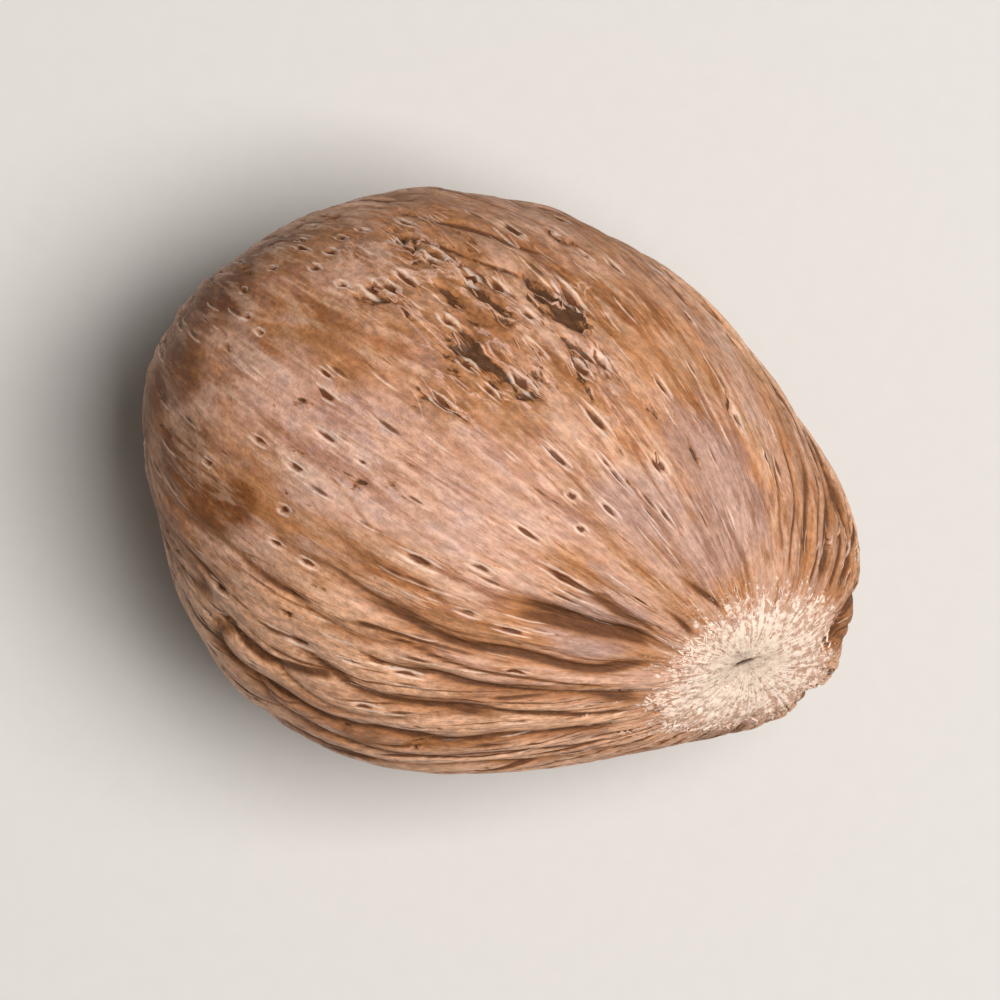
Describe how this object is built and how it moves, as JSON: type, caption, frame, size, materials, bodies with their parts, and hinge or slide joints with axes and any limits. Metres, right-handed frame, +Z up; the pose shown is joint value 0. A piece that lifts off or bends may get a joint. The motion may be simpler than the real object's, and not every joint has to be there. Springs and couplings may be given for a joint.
{
  "type": "whole nutmeg",
  "caption": "Whole dried nutmeg: an egg-shaped kernel with a pale scar aslant on its narrow end, furrows running out from it and a small resting flat.",
  "frame": {"origin": "under the middle of the nutmeg's box, on the surface it lies on", "axes": "+Z up, +X along the nutmeg towards the end with the pale scar, +Y across it"},
  "size_m": [0.0232, 0.018, 0.0172],
  "materials": {
    "nutmeg_skin": "dull, dry and furrowed tan skin with darker furrows and a chalky pale scar"
  },
  "bodies": {
    "root": {"nutmeg": "nutmeg_skin"}
  },
  "joints": []
}
